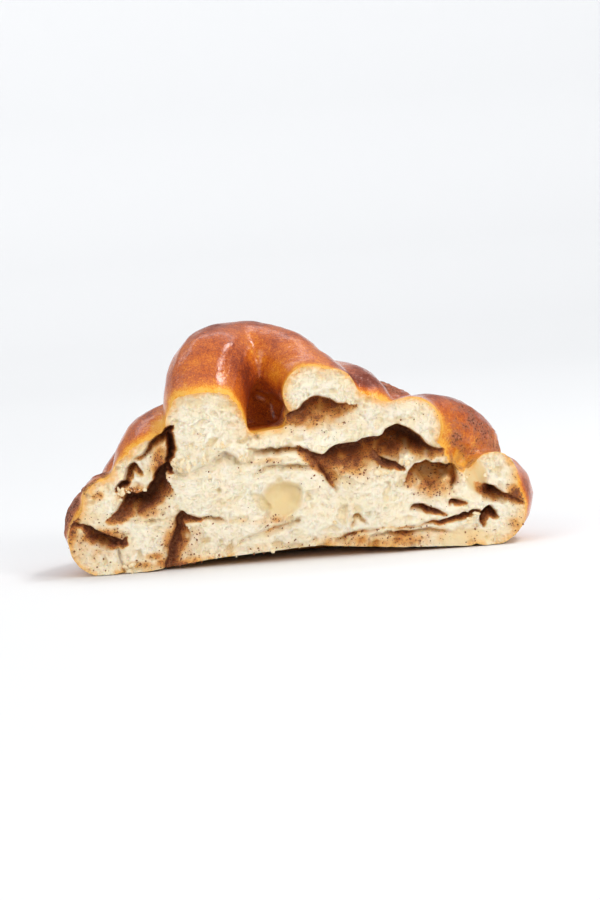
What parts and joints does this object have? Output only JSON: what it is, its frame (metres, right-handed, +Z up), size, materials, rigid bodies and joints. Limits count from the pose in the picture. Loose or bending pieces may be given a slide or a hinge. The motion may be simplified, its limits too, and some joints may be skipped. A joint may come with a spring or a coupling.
{
  "type": "cinnamon knot bun half",
  "caption": "Half of a knotted cinnamon bun standing on its flat base, torn face forward, with a rope loop on top and cinnamon seams in pale layered crumb.",
  "frame": {"origin": "middle of the bounding box on the plane of the flat base", "axes": "+X to the right along the torn face, +Y from the torn face into the bun, +Z up from the base"},
  "size_m": [0.1198, 0.0628, 0.0605],
  "materials": {
    "dough": "egg-washed amber crust outside, pale cream crumb on the torn face",
    "cinnamon": "matt dark brown cinnamon and sugar paste"
  },
  "bodies": {
    "root": {"dough": "dough", "cinnamon_hollow": "cinnamon", "cinnamon_right_pocket": "cinnamon", "cinnamon_right_fold": "cinnamon", "cinnamon_right_slit": "cinnamon", "cinnamon_low_seam": "cinnamon", "cinnamon_base_seam": "cinnamon", "cinnamon_middle_seam": "cinnamon", "cinnamon_tall_seam": "cinnamon", "cinnamon_left_hollow": "cinnamon", "cinnamon_left_crust": "cinnamon", "cinnamon_left_fold": "cinnamon"}
  },
  "joints": []
}
